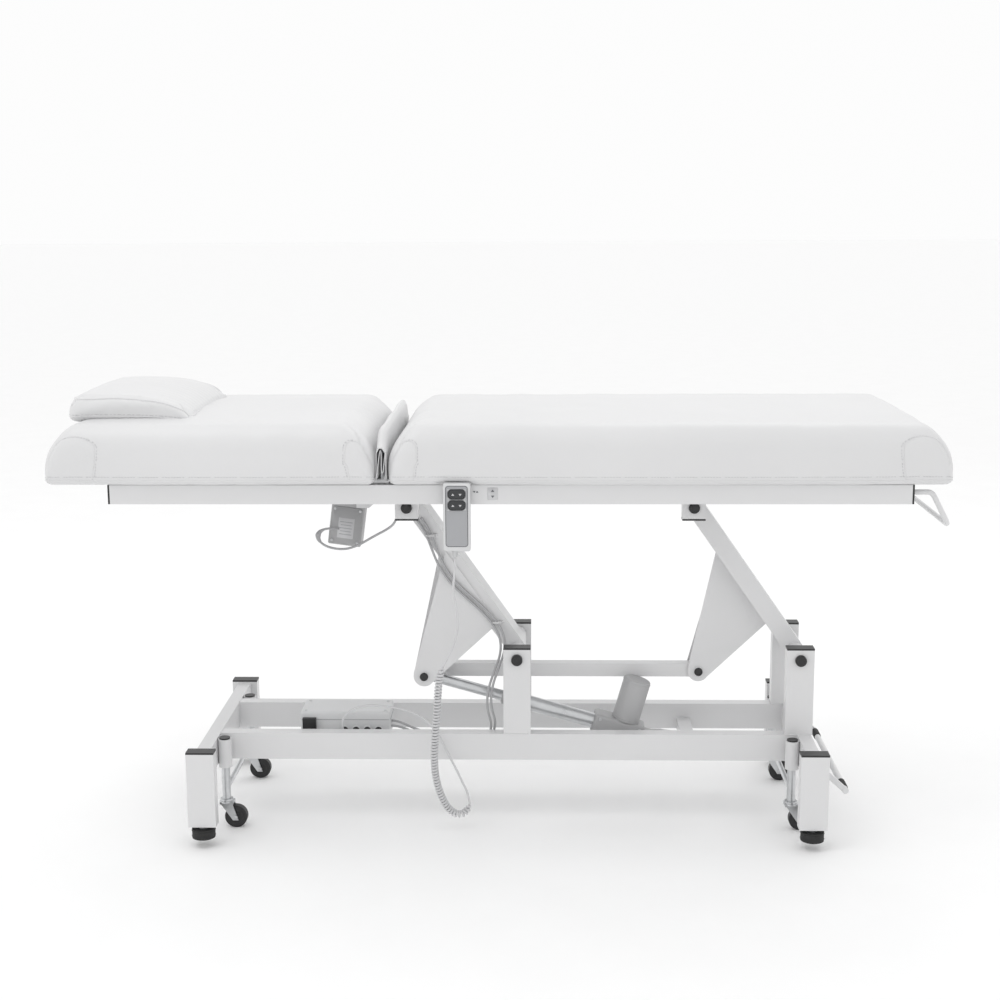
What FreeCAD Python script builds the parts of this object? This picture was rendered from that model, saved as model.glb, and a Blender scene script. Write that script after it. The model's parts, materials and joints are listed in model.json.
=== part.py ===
import FreeCAD, Part
import math
import os

# Electric facial treatment bed, millimetres. +X is the foot end, +Y the far side, +Z up.
# The origin is on the floor under the middle of the bed. The bed stands on its castors,
# so the levelling feet hang FOOT_LIFT above the floor.

V = FreeCAD.Vector
X_AXIS = V(1, 0, 0)
Y_AXIS = V(0, 1, 0)
Z_AXIS = V(0, 0, 1)

# driving dimensions: base frame
WALL = 2.0
LEG_X = (-638.5, 672.5)
LEG_LONG = 60.0
LEG_THIN = 30.0
LEG_Y = 265.0
LEG_TOP = 210.0
LEG_BOTTOM = 46.0
CAP = 4.0
FOOT_LIFT = 20.0
FOOT_R = 25.0
FOOT_PAD = 20.0
FOOT_STEM_R = 5.0
PLUG = 3.0
RAIL_Y = 111.0
RAIL_BOTTOM = 147.0
RAIL_TOP = 207.0
UPRIGHT_TOP = 400.0

# lifting parallelogram
PIVOT_X = (38.2, 660.4)
PIVOT_Z = 377.5
ARM_DX = -238.4
ARM_DZ = 340.0
ARM_DEEP = 40.0
ARM_WIDE = 80.0
SLEEVE_R = 18.0
SLEEVE_Y = 92.0
BOLT_R = 8.0
BOLT_HEAD_R = 12.5
BOLT_HEAD = 7.0
UPRIGHT_HALF = 30.0
RUN_GAP = 0.05
GUSSET_DX = -211.0
GUSSET_DZ = -62.6
GUSSET_R = 24.0
GUSSET_NEAR = 75.0
GUSSET_FAR = 278.0
PIN_R = 8.0
PIN_HEAD_R = 9.0
TIE = 30.0
TIE_Y = 23.0

# lift actuator
ACT_Y = -27.0
ACT_REAR_X = 350.0
ACT_REAR_Z = 166.5
ACT_TUBE_R = 17.0
ACT_ROD_R = 12.0
ACT_EYE_R = 20.0
ACT_PIN_R = 6.0
GEAR_START = 30.0
GEAR_END = 146.0
GEAR_HALF = 28.0
GEAR_TOP = 24.0
MOTOR_R = 31.0
MOTOR_AT = 76.0
MOTOR_TOP = 122.0

# upper frame
UPPER_Y = 265.0
UPPER_X = (-803.0, 852.0)
UPPER_BOTTOM = 755.0
UPPER_TOP = 795.0
BRACKET_Y = 108.0
BRACKET_BOTTOM = 693.0
BRACKET_LONG = 50.0

# upholstery
BED_HALF = 300.0
CUSHION_BOTTOM = 798.0
CUSHION_TOP = 914.0
SEAT_X = (-225.0, 934.0)
BACK_X = (-937.5, -248.0)
BOARD = 15.0
BOARD_BOTTOM = 796.0
BOARD_INSET = 30.0

# backrest hinge and its actuator
HINGE_X = -236.0
HINGE_Z = 903.0
HINGE_R = 4.5
BACK_PIVOT_X = -305.0
BACK_PIVOT_Z = 715.0
BACK_LUG_X = -680.0
BACK_LUG_Z = 765.0
BACK_TUBE_R = 16.0
BACK_ROD_R = 10.0
BACK_PIN_R = 6.0

# castors
CASTOR_X = (-608.5, 642.5)
CASTOR_Y = 155.0
SOCKET_R = 15.0
SOCKET_BOTTOM = 140.0
STEM_R = 9.5
STEM_TOP = 158.0
WHEEL_R = 25.0
TRAIL = 20.5
WHEEL_HALF = 10.0
AXLE_R = 3.0
FORK_TOP = 60.0
FORK_HALF = 13.75
CHEEK = 2.5
LIFT_BAR_R = 6.0
LIFT_BAR_Z = 88.0

# castor pedal
SHAFT_X = 706.0
SHAFT_Z = 150.0
PEDAL_X = 752.0
PEDAL_Z = 108.0
PEDAL_R = 7.0
LEVER_Y = 200.0
EAR_Y = 180.0

# paper-roll bar
BAR_R = 5.5
BAR_BEND = 16.0
BAR_ELBOW = (896.0, 777.0)
BAR_END = (932.0, 708.0)

# handset and its cord
HANDSET_X = -81.0
HANDSET_FRONT = -310.0
HANDSET_BACK = -284.0
HANDSET_BOTTOM = 661.0
HANDSET_TOP = 803.0
HANDSET_HALF = 28.0
LEAD_R = 2.5
CURL_R = 8.6
KEY_Z = (781.0, 758.0)
KEY_LONG = 18.0
KEY_HIGH = 10.0
KEY_GAP = 0.6
KEY_PIVOT_Y = -305.0
JACK_X = -353.0
JACK_Z = 194.0
JACK_FRONT = -68.0
JACK_R = 8.0
JACK_STEP = 25.5

nodes = {}


def box(x0, x1, y0, y1, z0, z1):
    """Box between the given coordinates."""
    return Part.makeBox(x1 - x0, y1 - y0, z1 - z0, V(x0, y0, z0))


def rod_y(x, z, radius, y0, y1):
    """Cylinder along Y."""
    return Part.makeCylinder(radius, y1 - y0, V(x, y0, z), Y_AXIS)


def rod_z(x, y, radius, z0, z1):
    """Cylinder along Z."""
    return Part.makeCylinder(radius, z1 - z0, V(x, y, z0), Z_AXIS)


def box_tube(x0, x1, y0, y1, z0, z1, along):
    """Square-section tube with the standard wall, open at both ends along one axis."""
    gap = {"x": WALL, "y": WALL, "z": WALL}
    gap[along] = 0.0
    inner = box(x0 + gap["x"], x1 - gap["x"], y0 + gap["y"], y1 - gap["y"],
                z0 + gap["z"], z1 - gap["z"])
    return box(x0, x1, y0, y1, z0, z1).cut(inner)


def keep(name, *shapes):
    """Add solids to the node of this name."""
    nodes.setdefault(name, [])
    for shape in shapes:
        nodes[name].extend(shape.Solids)


def turned(shape, x, z, degrees):
    """Shape turned about a line along Y, positive from +Z towards +X."""
    copy = shape.copy()
    copy.rotate(V(x, 0, z), Y_AXIS, degrees)
    return copy


def plate_xz(points, y0, y1):
    """Flat plate in the XZ plane between two Y values."""
    ring = [V(x, y0, z) for x, z in points]
    face = Part.Face(Part.makePolygon(ring + ring[:1]))
    return face.extrude(V(0, y1 - y0, 0))


def rounded_box(x0, x1, y0, y1, z0, z1, radius):
    """Box with every edge rounded."""
    solid = box(x0, x1, y0, y1, z0, z1)
    return solid.makeFillet(radius, solid.Edges)


def headed_bolt(x, z, end, head_r, head):
    """Pivot bolt along Y with a round head at each end."""
    bolt = rod_y(x, z, BOLT_R, -end, end)
    return bolt.fuse([rod_y(x, z, head_r, -end - head, -end), rod_y(x, z, head_r, end, end + head)])


def make_base_frame():
    """Two long rails, end beams, legs and pivot uprights."""
    half = LEG_THIN / 2
    rail_ends = (LEG_X[0] + half, LEG_X[1] - half)
    for side, y in (("front", -RAIL_Y), ("rear", RAIL_Y)):
        keep("base_rail_" + side,
             box_tube(rail_ends[0], rail_ends[1], y - half, y + half, RAIL_BOTTOM, RAIL_TOP, "x"))
    for end, x, pivot_x in (("left", LEG_X[0], PIVOT_X[0]), ("right", LEG_X[1], PIVOT_X[1])):
        beam_end = LEG_Y - half
        keep("cross_beam_" + end,
             box_tube(x - half, x + half, -beam_end, beam_end, RAIL_BOTTOM, RAIL_TOP, "y"))
        for y in (-LEG_Y, LEG_Y):
            long_half = LEG_LONG / 2
            keep("legs_" + end,
                 box_tube(x - long_half, x + long_half, y - half, y + half,
                          LEG_BOTTOM, LEG_TOP, "z"))
            keep("base_tube_caps",
                 box(x - long_half, x + long_half, y - half, y + half, LEG_TOP, LEG_TOP + CAP))
        for y in (-RAIL_Y, RAIL_Y):
            upright = box_tube(pivot_x - UPRIGHT_HALF, pivot_x + UPRIGHT_HALF,
                               y - half, y + half, RAIL_TOP, UPRIGHT_TOP, "z")
            keep("uprights_" + end, upright.cut(rod_y(pivot_x, PIVOT_Z, BOLT_R, y - 16, y + 16)))
            keep("base_tube_caps",
                 box(pivot_x - UPRIGHT_HALF, pivot_x + UPRIGHT_HALF, y - half, y + half,
                     UPRIGHT_TOP, UPRIGHT_TOP + CAP))
        bolt_end = RAIL_Y + half
        keep("lower_pivot_bolts",
             headed_bolt(pivot_x, PIVOT_Z, bolt_end, BOLT_HEAD_R, BOLT_HEAD))


def make_feet():
    """Rubber levelling feet with a threaded stem into each leg."""
    for x in LEG_X:
        for y in (-LEG_Y, LEG_Y):
            pad = rod_z(x, y, FOOT_R, FOOT_LIFT, FOOT_LIFT + FOOT_PAD)
            stem = rod_z(x, y, FOOT_STEM_R, FOOT_LIFT + FOOT_PAD, LEG_BOTTOM)
            long_half = LEG_LONG / 2 - WALL
            thin_half = LEG_THIN / 2 - WALL
            plug = box(x - long_half, x + long_half, y - thin_half, y + thin_half,
                       LEG_BOTTOM, LEG_BOTTOM + PLUG)
            keep("levelling_feet", pad.fuse([stem, plug]))


def make_castor(end, x, row, y):
    """Swivel fork and wheel under one stem."""
    name = end + "_" + row
    fork = box(x - 14, x + 16, y - FORK_HALF, y + FORK_HALF, FORK_TOP - 5, FORK_TOP)
    axle_x = x + TRAIL
    for sign in (-1, 1):
        cheek_y = y + sign * (FORK_HALF - CHEEK / 2)
        cheek = plate_xz([(x - 12, FORK_TOP - 3), (x + 14, FORK_TOP - 3),
                          (axle_x + 6, WHEEL_R - 7), (axle_x - 6, WHEEL_R - 7)],
                         cheek_y - CHEEK / 2, cheek_y + CHEEK / 2)
        fork = fork.fuse(cheek)
    bore = rod_y(axle_x, WHEEL_R, AXLE_R, y - 14, y + 14)
    axle = rod_y(axle_x, WHEEL_R, AXLE_R, y - 15, y + 15)
    keep("castor_fork_" + name, fork.cut(bore), axle)
    wheel = rod_y(axle_x, WHEEL_R, WHEEL_R, y - WHEEL_HALF, y + WHEEL_HALF)
    wheel = wheel.makeFillet(3.0, wheel.Edges)
    keep("castor_wheel_" + name,
         wheel.cut(rod_y(axle_x, WHEEL_R, AXLE_R + RUN_GAP, y - WHEEL_HALF, y + WHEEL_HALF)))


def make_castors():
    """Welded sockets, sliding stems joined by a lifting bar, forks and wheels."""
    for end, x in (("left", CASTOR_X[0]), ("right", CASTOR_X[1])):
        lift = rod_y(x, LIFT_BAR_Z, LIFT_BAR_R, -CASTOR_Y, CASTOR_Y)
        for y in (-CASTOR_Y, CASTOR_Y):
            outer = rod_z(x, y, SOCKET_R, SOCKET_BOTTOM, RAIL_TOP - 3)
            keep("castor_sockets",
                 outer.cut(rod_z(x, y, STEM_R + RUN_GAP, SOCKET_BOTTOM, RAIL_TOP - 3)))
            keep("base_tube_caps", rod_z(x, y, 12, RAIL_TOP - 3, RAIL_TOP))
            lift = lift.fuse([rod_z(x, y, STEM_R, 66, STEM_TOP), rod_z(x, y, 14, 60.5, 66)])
        keep("castor_lift_" + end, lift)
        for row, y in (("front", -CASTOR_Y), ("rear", CASTOR_Y)):
            make_castor(end, x, row, y)


def make_pedal():
    """Foot pedal at the foot end that raises and lowers the castors."""
    face = LEG_X[1] + LEG_THIN / 2
    reach = math.hypot(PEDAL_X - SHAFT_X, PEDAL_Z - SHAFT_Z)
    drop = math.degrees(math.atan2(SHAFT_Z - PEDAL_Z, PEDAL_X - SHAFT_X))
    pedal = rod_y(SHAFT_X, SHAFT_Z, PEDAL_R, -LEVER_Y - 12, LEVER_Y + 12)
    for y in (-LEVER_Y, LEVER_Y):
        lever = box(SHAFT_X, SHAFT_X + reach, y - 5, y + 5, SHAFT_Z - 6, SHAFT_Z + 6)
        pedal = pedal.fuse(turned(lever, SHAFT_X, SHAFT_Z, drop))
    pedal = pedal.fuse(rod_y(PEDAL_X, PEDAL_Z, PEDAL_R, -LEVER_Y - 6, LEVER_Y + 6))
    keep("castor_pedal", pedal)
    for y in (-EAR_Y, EAR_Y):
        ear = box(face, SHAFT_X + 12, y - 6, y + 6, SHAFT_Z - 12, RAIL_TOP - 30)
        keep("base_brackets", ear.cut(rod_y(SHAFT_X, SHAFT_Z, PEDAL_R + RUN_GAP, y - 7, y + 7)))


def make_arm(end, pivot_x, plates):
    """Central box-tube arm with its two cross sleeves and a pair of gusset plates."""
    top_x = pivot_x + ARM_DX
    top_z = PIVOT_Z + ARM_DZ
    length = math.hypot(ARM_DX, ARM_DZ)
    half_deep = ARM_DEEP / 2
    half_wide = ARM_WIDE / 2
    lean = math.degrees(math.atan2(ARM_DX, ARM_DZ))
    beam = box_tube(pivot_x - half_deep, pivot_x + half_deep, -half_wide, half_wide,
                    PIVOT_Z, PIVOT_Z + length, "z")
    beam = turned(beam, pivot_x, PIVOT_Z, lean)
    sleeves = []
    for x, z in ((pivot_x, PIVOT_Z), (top_x, top_z)):
        beam = beam.cut(rod_y(x, z, SLEEVE_R, -SLEEVE_Y, SLEEVE_Y))
        sleeve = rod_y(x, z, SLEEVE_R, -SLEEVE_Y, SLEEVE_Y)
        sleeves.append(sleeve.cut(rod_y(x, z, BOLT_R + RUN_GAP, -SLEEVE_Y, SLEEVE_Y)))
    keep("lift_arm_" + end, beam)
    keep("lift_arm_" + end, *sleeves)
    pin_x = pivot_x + GUSSET_DX
    pin_z = PIVOT_Z + GUSSET_DZ
    ux = ARM_DX / length
    uz = ARM_DZ / length
    off_x = -uz * half_deep
    off_z = ux * half_deep
    for y0, y1 in plates:
        grip = 0.0 if abs(y0) >= half_wide else 1.0
        near = (pivot_x + GUSSET_NEAR * ux + grip * off_x, PIVOT_Z + GUSSET_NEAR * uz + grip * off_z)
        far = (pivot_x + GUSSET_FAR * ux + grip * off_x, PIVOT_Z + GUSSET_FAR * uz + grip * off_z)
        outline = [near, far, (pin_x - GUSSET_R, pin_z + 6), (pin_x + 12, pin_z - GUSSET_R + 3)]
        plate = plate_xz(outline, y0, y1).fuse(rod_y(pin_x, pin_z, GUSSET_R, y0, y1))
        keep("gusset_" + end, plate.removeSplitter())
    return pin_x, pin_z


def make_linkage():
    """Both arms, the gusset pins and the tie rod that keeps the arms parallel."""
    tie_front = TIE_Y - TIE / 2
    tie_rear = TIE_Y + TIE / 2
    left = make_arm("left", PIVOT_X[0], ((-44.0, -40.0), (2.0, 6.0)))
    right = make_arm("right", PIVOT_X[1], ((2.0, 6.0), (40.0, 44.0)))
    keep("gusset_left",
         rod_y(left[0], left[1], PIN_HEAD_R, -50, -44).fuse(rod_y(left[0], left[1], PIN_R, 6, 40)))
    keep("gusset_right",
         rod_y(right[0], right[1], PIN_HEAD_R, -4, 2).fuse(rod_y(right[0], right[1], PIN_R, 6, 40)))
    half = TIE / 2
    bar = box(left[0], right[0], tie_front + 0.5, tie_rear - 0.5, left[1] - half, left[1] + half)
    bar = bar.fuse([rod_y(x, left[1], half, tie_front + 0.5, tie_rear - 0.5)
                    for x in (left[0], right[0])])
    for x in (left[0], right[0]):
        bar = bar.cut(rod_y(x, left[1], PIN_R + 0.3, tie_front, tie_rear))
    keep("tie_rod", bar)
    return left


def make_lift_actuator(pin):
    """Motor, gearbox and outer tube on the base, with the rod that pushes the left gusset."""
    angle = math.degrees(math.atan2(pin[1] - ACT_REAR_Z, ACT_REAR_X - pin[0]))
    length = math.hypot(pin[1] - ACT_REAR_Z, ACT_REAR_X - pin[0])

    def lay(shape):
        return turned(shape, ACT_REAR_X, ACT_REAR_Z, angle)

    def along(radius, start, end):
        base = V(ACT_REAR_X - start, ACT_Y, ACT_REAR_Z)
        return lay(Part.makeCylinder(radius, end - start, base, V(-1, 0, 0)))

    gear = box(ACT_REAR_X - GEAR_END, ACT_REAR_X - GEAR_START, ACT_Y - GEAR_HALF, ACT_Y + GEAR_HALF,
               ACT_REAR_Z - GEAR_HALF, ACT_REAR_Z + GEAR_TOP)
    gear = gear.makeFillet(6.0, gear.Edges)
    socket = V(ACT_REAR_X - GEAR_END, ACT_Y, ACT_REAR_Z)
    gear = gear.cut(Part.makeCylinder(ACT_TUBE_R, 40, socket, X_AXIS))
    keep("lift_actuator_gearbox", lay(gear))
    can = rod_z(ACT_REAR_X - MOTOR_AT, ACT_Y, MOTOR_R, ACT_REAR_Z + GEAR_TOP, ACT_REAR_Z + MOTOR_TOP)
    top = [e for e in can.Edges if e.BoundBox.ZMin > ACT_REAR_Z + MOTOR_TOP - 1]
    keep("lift_actuator_motor", lay(can.makeFillet(4.0, top[:1])))
    tube = along(ACT_TUBE_R, GEAR_END - 40, length - 185)
    keep("lift_actuator_tube", tube.cut(along(ACT_ROD_R + 0.1, GEAR_END - 35, length)))
    tail = box(ACT_REAR_X - GEAR_START, ACT_REAR_X, ACT_Y - 10, ACT_Y + 10,
               ACT_REAR_Z - 14, ACT_REAR_Z + 14)
    tail = tail.fuse(rod_y(ACT_REAR_X, ACT_REAR_Z, 14, ACT_Y - 10, ACT_Y + 10))
    tail = tail.cut(rod_y(ACT_REAR_X, ACT_REAR_Z, ACT_PIN_R + RUN_GAP, ACT_Y - 11, ACT_Y + 11))
    keep("lift_actuator_gearbox", lay(tail))
    rod = along(ACT_ROD_R, length - 318, length - ACT_EYE_R)
    eye = rod_y(pin[0], pin[1], ACT_EYE_R, ACT_Y - 6, ACT_Y + 6)
    keep("lift_actuator_rod", rod.fuse(eye))
    make_actuator_anchor()


def make_actuator_anchor():
    """Cross beam between the base rails with the ears and pin that hold the lift actuator."""
    ears = []
    for sign in (-1, 1):
        ear_y = ACT_Y + sign * 14
        ear = plate_xz([(ACT_REAR_X - 16, ACT_REAR_Z - 16), (ACT_REAR_X + 60, ACT_REAR_Z - 16),
                        (ACT_REAR_X + 60, ACT_REAR_Z + 8), (ACT_REAR_X + 12, ACT_REAR_Z + 16),
                        (ACT_REAR_X - 16, ACT_REAR_Z + 16)], ear_y - 3, ear_y + 3)
        ears.append(ear)
    beam = box(ACT_REAR_X + 60, ACT_REAR_X + 90, 15 - RAIL_Y, RAIL_Y - 15, RAIL_BOTTOM, 174)
    pin = rod_y(ACT_REAR_X, ACT_REAR_Z, ACT_PIN_R, ACT_Y - 22, ACT_Y + 22)
    keep("actuator_anchor", beam.fuse(ears).fuse(pin))


def make_control_box():
    """Mains control unit between the base rails, hung from two cross straps."""
    body = rounded_box(-454, -250, -60, 34, 176, 235, 5)
    keep("control_box", body)
    keep("base_brackets",
         box(-440, -412, -96, 96, 170, 176), box(-292, -264, -96, 96, 170, 176))
    inlet = box(-448, -418, -70, -60, 182, 222)
    jacks = [rod_y(JACK_X + JACK_STEP * i, JACK_Z, JACK_R, JACK_FRONT, -60) for i in range(4)]
    keep("control_sockets", inlet, *jacks)


def make_upper_frame():
    """Side rails, cross tubes and the brackets that hold the arms' upper pivots."""
    half = LEG_THIN / 2
    for side, y in (("front", -UPPER_Y), ("rear", UPPER_Y)):
        keep("upper_rail_" + side,
             box_tube(UPPER_X[0], UPPER_X[1], y - half, y + half, UPPER_BOTTOM, UPPER_TOP, "x"))
        for x0, x1 in ((UPPER_X[0] - CAP, UPPER_X[0]), (UPPER_X[1], UPPER_X[1] + CAP)):
            keep("upper_tube_caps", box(x0, x1, y - half, y + half, UPPER_BOTTOM, UPPER_TOP))
    tops = [x + ARM_DX for x in PIVOT_X]
    spans = [(UPPER_X[0], UPPER_X[0] + 30), (UPPER_X[1] - 30, UPPER_X[1])]
    spans += [(x - BRACKET_LONG / 2, x + BRACKET_LONG / 2) for x in tops]
    for x0, x1 in spans:
        keep("upper_cross_tubes",
             box_tube(x0, x1, -UPPER_Y + half, UPPER_Y - half, UPPER_BOTTOM, UPPER_TOP, "y"))
    for x in tops:
        z = PIVOT_Z + ARM_DZ
        side = BRACKET_LONG / 2
        for y in (-BRACKET_Y, BRACKET_Y):
            leg = box_tube(x - side, x + side, y - half, y + half,
                           BRACKET_BOTTOM, UPPER_BOTTOM, "z")
            keep("arm_brackets", leg.cut(rod_y(x, z, BOLT_R, y - 16, y + 16)))
            keep("upper_tube_caps",
                 box(x - side, x + side, y - half, y + half, BRACKET_BOTTOM - CAP, BRACKET_BOTTOM))
        end = BRACKET_Y + half
        keep("upper_pivot_bolts", headed_bolt(x, z, end, 12, 6))


def make_paper_roll_bar():
    """U-shaped paper-roll bar that hangs from the foot end of the rails."""
    y_end = UPPER_Y - CAP
    outline = [(UPPER_X[1] + CAP, BAR_ELBOW[1]), BAR_ELBOW, BAR_END]
    path = [V(x, -y_end, z) for x, z in outline]
    path += [V(x, y_end, z) for x, z in reversed(outline)]
    keep("paper_roll_bar", swept_tube(path, BAR_R, [BAR_BEND] * 4))


def swept_tube(points, radius, bends):
    """Round bar along straight runs joined by tangent arcs of the given radii."""
    edges = []
    start = points[0]
    for i in range(1, len(points) - 1):
        before = (points[i - 1] - points[i]).normalize()
        after = (points[i + 1] - points[i]).normalize()
        half_turn = (math.pi - before.getAngle(after)) / 2
        back = bends[i - 1] * math.tan(half_turn)
        enter = points[i] + before * back
        leave = points[i] + after * back
        middle = (before + after).normalize()
        centre = points[i] + middle * (bends[i - 1] / math.cos(half_turn))
        crown = centre - middle * bends[i - 1]
        edges.append(Part.LineSegment(start, enter).toShape())
        edges.append(Part.Arc(enter, crown, leave).toShape())
        start = leave
    edges.append(Part.LineSegment(start, points[-1]).toShape())
    path = Part.Wire(edges)
    heading = points[1] - points[0]
    profile = Part.Wire([Part.makeCircle(radius, points[0], heading)])
    return path.makePipeShell([profile], True, False)


def cord_tube(name, route, radius):
    """Flexible tube whose arcs are as large as their two runs allow."""
    points = [V(*p) for p in route]
    bends = []
    for i in range(1, len(points) - 1):
        before = points[i - 1] - points[i]
        after = points[i + 1] - points[i]
        half_turn = (math.pi - before.getAngle(after)) / 2
        shorter = min(before.Length, after.Length)
        bends.append(0.45 * shorter / math.tan(half_turn))
    keep(name, swept_tube(points, radius, bends))


def key_block(z, gap, y0, y1):
    """Rocker key, or the recess around it, with rounded ends."""
    half_long = KEY_LONG + gap
    half_high = KEY_HIGH + gap
    block = box(HANDSET_X - half_long, HANDSET_X + half_long, y0, y1, z - half_high, z + half_high)
    corners = [e for e in block.Edges if abs(e.tangentAt(e.FirstParameter).y) > 0.9]
    return block.makeFillet(8.0, corners)


def make_handset():
    """Hand control hung on the front rail: shell, two rocker keys and strain relief."""
    x0 = HANDSET_X - HANDSET_HALF
    x1 = HANDSET_X + HANDSET_HALF
    case = rounded_box(x0, x1, HANDSET_FRONT, HANDSET_BACK, HANDSET_BOTTOM, HANDSET_TOP, 5)
    for z in KEY_Z:
        case = case.cut(key_block(z, KEY_GAP, HANDSET_FRONT - 1, HANDSET_FRONT + 8.5))
    keep("handset_case", case)
    hook = box(HANDSET_X - 9, HANDSET_X + 9, HANDSET_BACK, -UPPER_Y - 15, 770, 797)
    keep("handset_case", hook)
    for name, z in zip(("upper", "lower"), KEY_Z):
        key = key_block(z, 0.0, HANDSET_FRONT - 2.5, HANDSET_FRONT + 4)
        barrel = rod_z(HANDSET_X, KEY_PIVOT_Y, 2.5, z - 8, z + 8)
        keep("handset_key_" + name, key.fuse(barrel))
    relief = Part.makeCone(6.0, 4.0, 14, V(CORD_EXIT[0], CORD_EXIT[1], HANDSET_BOTTOM),
                           V(0, 0, -1))
    keep("handset_case", relief)


CORD_EXIT = (-86.0, -297.0, 647.0)
LEAD_DOWN = [CORD_EXIT, (-86, -297, 617), (-92, -293, 577), (-84, -286, 533), (-81, -278, 493),
             (-91, -268, 455), (-104, -258, 424), (-118, -250, 396)]
CURL = [(-118, -250, 396), (-126, -247, 372), (-130, -240, 316), (-135, -230, 256),
        (-140, -218, 196), (-140, -205, 138), (-128, -190, 84), (-108, -176, 42),
        (-76, -166, 32), (-66, -160, 56)]
LEAD_BACK = [(-66, -160, 56), (-70, -156, 78), (-84, -152, 106), (-100, -148, 140),
             (-118, -144, 174), (-134, -137, 206), (-158, -122, 232), (-190, -106, 248),
             (-226, -95, 255), (-264, -88, 259), (-302, -85, 260), (-334, -86, 250),
             (-353, -88, 232), (-356, -89, 212), (-353, -86, 194), (JACK_X, JACK_FRONT, JACK_Z)]


def make_handset_cord():
    """Lead, curled part and return lead of the hand control's cord."""
    cord_tube("handset_lead_upper", LEAD_DOWN, LEAD_R)
    cord_tube("handset_cord_curl", CURL, CURL_R)
    cord_tube("handset_lead_lower", LEAD_BACK, LEAD_R)


MOTOR_CABLE = [(-184, -46, 676), (-169, -47, 655), (-155, -48, 620), (-140, -49, 578),
               (-121, -49, 546), (-98, -49, 519), (-68, -49, 492), (-38, -49, 464),
               (-16, -50, 438), (0, -56, 410), (2, -68, 376), (-14, -80, 336), (-28, -85, 294),
               (-30, -87, 252), (-18, -86, 214), (-28, -82, 184), (-62, -76, 168),
               (-106, -66, 166), (-156, -54, 172), (-206, -44, 186), (-236, -38, 196),
               (-250, -38, 196)]


def make_motor_cables():
    """Pair of motor cables clipped down the front of the left arm and on to the control box."""
    for shift in (0.0, 9.0):
        hung = [(x + shift, y, z + shift * 0.6) for x, y, z in MOTOR_CABLE[:-2]]
        plugged = [(x, y + shift, z + shift) for x, y, z in MOTOR_CABLE[-2:]]
        cord_tube("motor_cables", hung + plugged, LEAD_R)


BACK_CABLE = [(-223, -84, 755), (-223, -84, 704), (-228, -80, 678), (-244, -69, 661),
              (-280, -61, 641), (-316, -58, 619), (-347, -57, 610), (-382, -56, 615),
              (-402, -54, 628), (-406, -49, 644), (-394, -44, 654), (-374, -42, 656),
              (-361, -41, 653), (-361, -30, 653)]


def make_backrest_cable():
    """Lead from the upper frame to the backrest motor."""
    cord_tube("backrest_motor_cable", BACK_CABLE, LEAD_R)


def make_upholstery():
    """Boards, cushions and the head pillow as plain closed solids."""
    for name, span in (("seat", SEAT_X), ("backrest", BACK_X)):
        board = box(span[0] + BOARD_INSET, span[1] - BOARD_INSET, -BED_HALF + 20, BED_HALF - 20,
                    BOARD_BOTTOM, BOARD_BOTTOM + BOARD)
        keep(name + "_board", board)
        pad = rounded_box(span[0], span[1], -BED_HALF, BED_HALF, CUSHION_BOTTOM, CUSHION_TOP, 30)
        keep(name + "_cushion", pad.cut(board))
    low = CUSHION_TOP + 0.5
    pillow = plate_xz([(-905, low), (-640, low), (-640, low + 12), (-886, low + 60),
                       (-900, low + 56)], -200, 200)
    keep("head_pillow", pillow)


def make_backrest_hinge():
    """Hinge leaves that stand in the gap between the cushions."""
    for y0, y1 in ((-225.0, -45.0), (45.0, 225.0)):
        fixed = box(HINGE_X + 2, HINGE_X + 6, y0, y1, UPPER_TOP, HINGE_Z)
        fixed = fixed.fuse(box(HINGE_X + 2, SEAT_X[0] + BOARD_INSET - 1, y0, y1,
                               UPPER_TOP, UPPER_TOP + 3))
        moving = box(HINGE_X - 8, HINGE_X - 4, y0, y1, BOARD_BOTTOM, HINGE_Z)
        foot = box(BACK_X[1] - BOARD_INSET, HINGE_X - 8, y0, y1, BOARD_BOTTOM, BOARD_BOTTOM + 3)
        moving = moving.fuse(foot.cut(nodes_shape("backrest_cushion")))
        middle = (y0 + y1) / 2
        knuckle = rod_y(HINGE_X, HINGE_Z, HINGE_R, y0, middle - 0.3)
        other = rod_y(HINGE_X, HINGE_Z, HINGE_R, middle + 0.3, y1)
        arm = box(HINGE_X, HINGE_X + 6, y0, middle - 0.3, HINGE_Z - 3, HINGE_Z)
        fixed = fixed.cut(rod_y(HINGE_X, HINGE_Z, HINGE_R + 0.5, middle - 0.3, y1))
        fixed = fixed.fuse([knuckle, arm])
        arm = box(HINGE_X - 8, HINGE_X, middle + 0.3, y1, HINGE_Z - 3, HINGE_Z)
        moving = moving.cut(rod_y(HINGE_X, HINGE_Z, HINGE_R + 0.5, y0, middle + 0.3))
        moving = moving.fuse([other, arm])
        keep("hinge_leaves_seat", fixed)
        keep("backrest_fittings", moving)


def nodes_shape(name):
    """All solids of a node as one compound."""
    return Part.makeCompound(nodes[name])


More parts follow.
